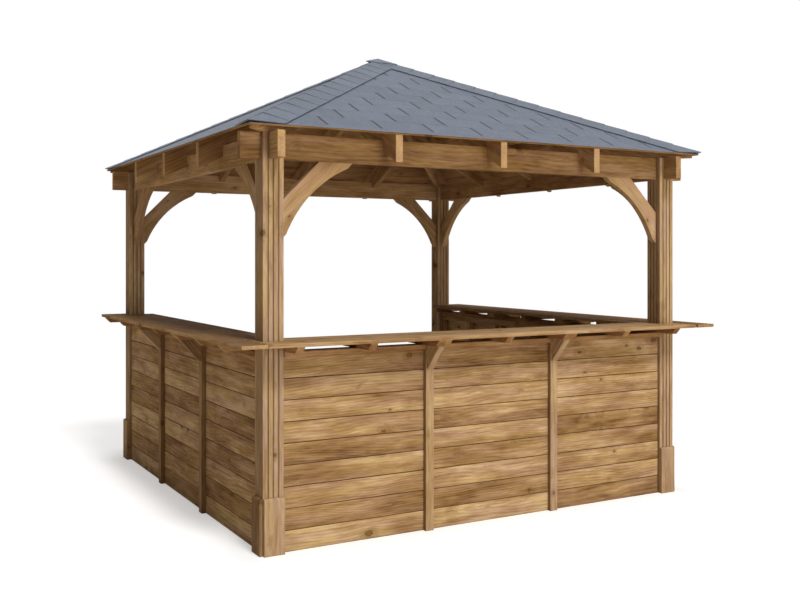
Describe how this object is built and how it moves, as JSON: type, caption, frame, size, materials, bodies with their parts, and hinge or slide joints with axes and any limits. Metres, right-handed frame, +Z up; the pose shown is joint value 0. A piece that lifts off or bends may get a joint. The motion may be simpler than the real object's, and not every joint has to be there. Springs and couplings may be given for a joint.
{
  "type": "outdoor garden bar",
  "caption": "Square timber garden bar: boarded walls and counters on the front and sides, an open back, curved braces and a hipped roof of felt shingles.",
  "frame": {"origin": "on the ground at the middle of the whole object's bounding box in plan", "axes": "+X to the right along the front, +Y from the front to the open back, +Z up"},
  "size_m": [3.38, 3.315, 3.0868],
  "materials": {
    "post_timber": "satin stained softwood",
    "beam_timber": "satin stained softwood",
    "board_timber": "matte stained softwood",
    "counter_timber": "satin stained softwood",
    "frame_timber": "matte stained softwood",
    "roof_boarding": "matte stained softwood",
    "felt_shingle": "matte mineral felt"
  },
  "bodies": {
    "root": {"back_beam": "beam_timber", "back_left_braces": "beam_timber", "back_left_hip_rafter": "beam_timber", "back_left_post": "post_timber", "back_rafters": "beam_timber", "back_right_braces": "beam_timber", "back_right_hip_rafter": "beam_timber", "back_right_post": "post_timber", "back_roof_boards": "roof_boarding", "back_shingles": "felt_shingle", "counter_brackets": "frame_timber", "front_beam": "beam_timber", "front_bearers": "frame_timber", "front_cladding": "board_timber", "front_counter": "counter_timber", "front_left_braces": "beam_timber", "front_left_hip_rafter": "beam_timber", "front_left_post": "post_timber", "front_rafters": "beam_timber", "front_right_braces": "beam_timber", "front_right_hip_rafter": "beam_timber", "front_right_post": "post_timber", "front_roof_boards": "roof_boarding", "front_shingles": "felt_shingle", "front_wall_plate": "frame_timber", "front_wall_rails": "frame_timber", "front_wall_studs": "frame_timber", "hip_caps": "felt_shingle", "joint_battens": "frame_timber", "left_beam": "beam_timber", "left_bearers": "frame_timber", "left_cladding": "board_timber", "left_counter": "counter_timber", "left_rafters": "beam_timber", "left_roof_boards": "roof_boarding", "left_shingles": "felt_shingle", "left_wall_plate": "frame_timber", "left_wall_rails": "frame_timber", "left_wall_studs": "frame_timber", "peak_cap": "felt_shingle", "post_plinths": "post_timber", "right_beam": "beam_timber", "right_bearers": "frame_timber", "right_cladding": "board_timber", "right_counter": "counter_timber", "right_rafters": "beam_timber", "right_roof_boards": "roof_boarding", "right_shingles": "felt_shingle", "right_wall_plate": "frame_timber", "right_wall_rails": "frame_timber", "right_wall_studs": "frame_timber"}
  },
  "joints": []
}
